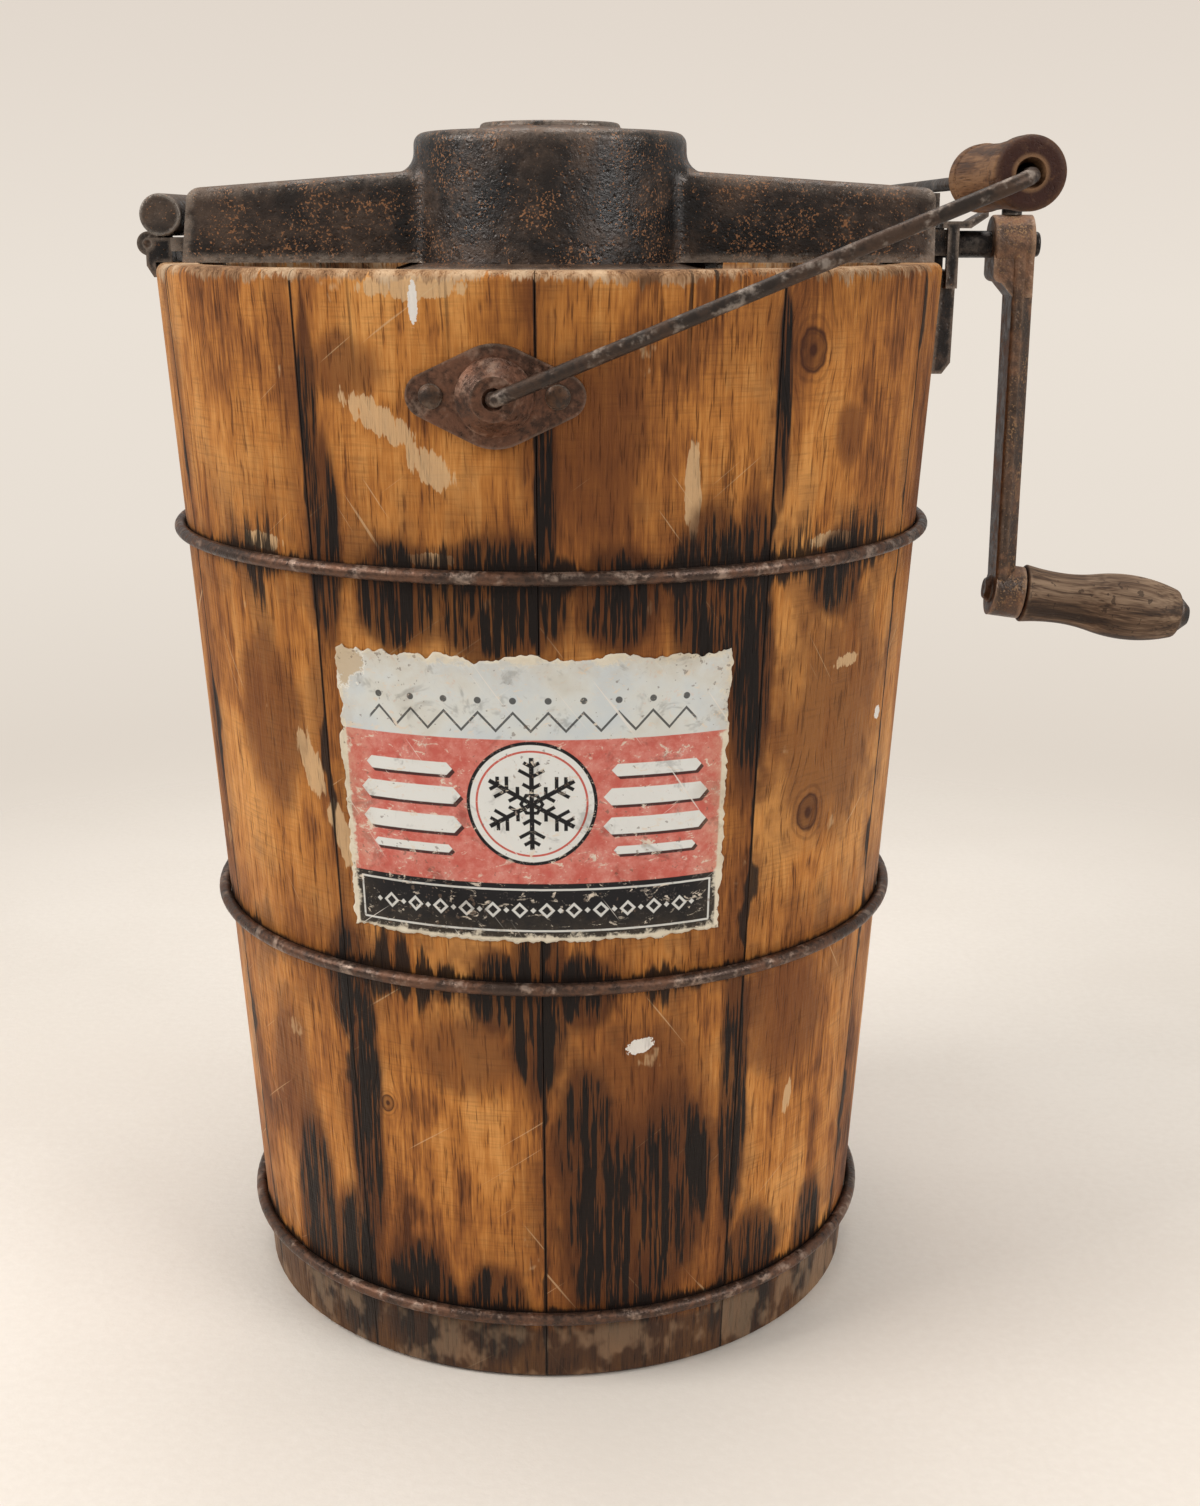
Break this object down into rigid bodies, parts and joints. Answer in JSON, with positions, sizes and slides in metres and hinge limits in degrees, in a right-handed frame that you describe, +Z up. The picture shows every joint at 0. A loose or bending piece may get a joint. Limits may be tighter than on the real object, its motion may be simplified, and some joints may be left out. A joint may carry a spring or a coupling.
{
  "type": "hand_crank_ice_cream_freezer",
  "caption": "Hand crank ice cream freezer: a weathered wooden stave tub with wire hoops, a cast iron gear frame across the rim, an iron crank with a wooden handle and a wire bail.",
  "frame": {"origin": "On the axis of the tub, at floor level.", "axes": "+Z up along the tub axis, +X towards the crank, -Y is the labelled front."},
  "size_m": [0.3884, 0.3106, 0.4324],
  "materials": {
    "tub_wood": "weathered",
    "board_wood": "damp stained",
    "handle_wood": "hand worn",
    "scraper_wood": "bare",
    "paper_label": "faded print",
    "tinned_steel": "dull tin",
    "rusty_wire": "rusted",
    "dark_steel": "oil darkened",
    "worn_cast_iron": "rough, rust speckled"
  },
  "bodies": {
    "tub": {"bottom_board_front": "board_wood", "bottom_board_middle": "board_wood", "bottom_board_rear": "board_wood", "frame_keeper": "worn_cast_iron", "front_bail_ear": "dark_steel", "front_ear_rivets": "dark_steel", "front_label": "paper_label", "gear_frame": "worn_cast_iron", "gear_plate": "dark_steel", "gear_plate_screws": "dark_steel", "keeper_screws": "dark_steel", "latch_base": "worn_cast_iron", "latch_pin": "dark_steel", "latch_screws": "dark_steel", "lower_hoop": "rusty_wire", "middle_hoop": "rusty_wire", "rear_bail_ear": "dark_steel", "rear_ear_rivets": "dark_steel", "stave_01": "tub_wood", "stave_02": "tub_wood", "stave_03": "tub_wood", "stave_04": "tub_wood", "stave_05": "tub_wood", "stave_06": "tub_wood", "stave_07": "tub_wood", "stave_08": "tub_wood", "stave_09": "tub_wood", "stave_10": "tub_wood", "stave_11": "tub_wood", "step_bearing": "tinned_steel", "step_bearing_screws": "dark_steel", "upper_hoop": "rusty_wire"},
    "crank": {"crank_shaft": "dark_steel", "drive_pinion": "worn_cast_iron", "pinion_pin": "dark_steel", "crank_arm": "worn_cast_iron", "crank_set_screw": "dark_steel", "handle_pin": "dark_steel"},
    "handle": {"crank_handle": "handle_wood"},
    "can": {"can_shell": "tinned_steel", "can_pivot": "tinned_steel", "can_lid": "tinned_steel", "can_gear": "worn_cast_iron"},
    "dasher": {"dasher_stem": "tinned_steel", "dasher_cage": "tinned_steel", "scraper_left": "scraper_wood", "scraper_right": "scraper_wood", "scraper_pins": "dark_steel", "dasher_paddles": "tinned_steel", "dasher_gear": "worn_cast_iron"},
    "bail": {"bail_wire": "rusty_wire"},
    "grip": {"bail_grip": "handle_wood"},
    "latch": {"latch_lever": "worn_cast_iron"}
  },
  "joints": [
    {"name": "crank_spin", "type": "hinge", "parent": "tub", "child": "crank", "pos_m": [0.14, 0, 0.3908], "axis": [1, 0, 0], "continuous": true},
    {"name": "handle_spin", "type": "hinge", "parent": "crank", "child": "handle", "pos_m": [0.17759, 0, 0.26297], "axis": [0.9907, 0, -0.1357], "continuous": true},
    {"name": "can_spin", "type": "hinge", "parent": "tub", "child": "can", "pos_m": [0, 0, 0.2], "axis": [0, 0, 1], "continuous": true},
    {"name": "dasher_spin", "type": "hinge", "parent": "tub", "child": "dasher", "pos_m": [0, 0, 0.2], "axis": [0, 0, 1], "continuous": true},
    {"name": "bail_swing", "type": "hinge", "parent": "tub", "child": "bail", "pos_m": [-0.0136, 0, 0.3484], "axis": [0, -1, 0], "range_deg": [0, 200]},
    {"name": "grip_spin", "type": "hinge", "parent": "bail", "child": "grip", "pos_m": [0.14147, -0.104, 0.4121], "axis": [0, 1, 0], "continuous": true},
    {"name": "latch_swing", "type": "hinge", "parent": "tub", "child": "latch", "pos_m": [-0.1427, 0, 0.3912], "axis": [0, -1, 0], "range_deg": [0, 80]}
  ],
  "couplings": [
    {"joint": "can_spin", "follows": "crank_spin", "ratio": 0.5},
    {"joint": "dasher_spin", "follows": "crank_spin", "ratio": -0.5}
  ]
}
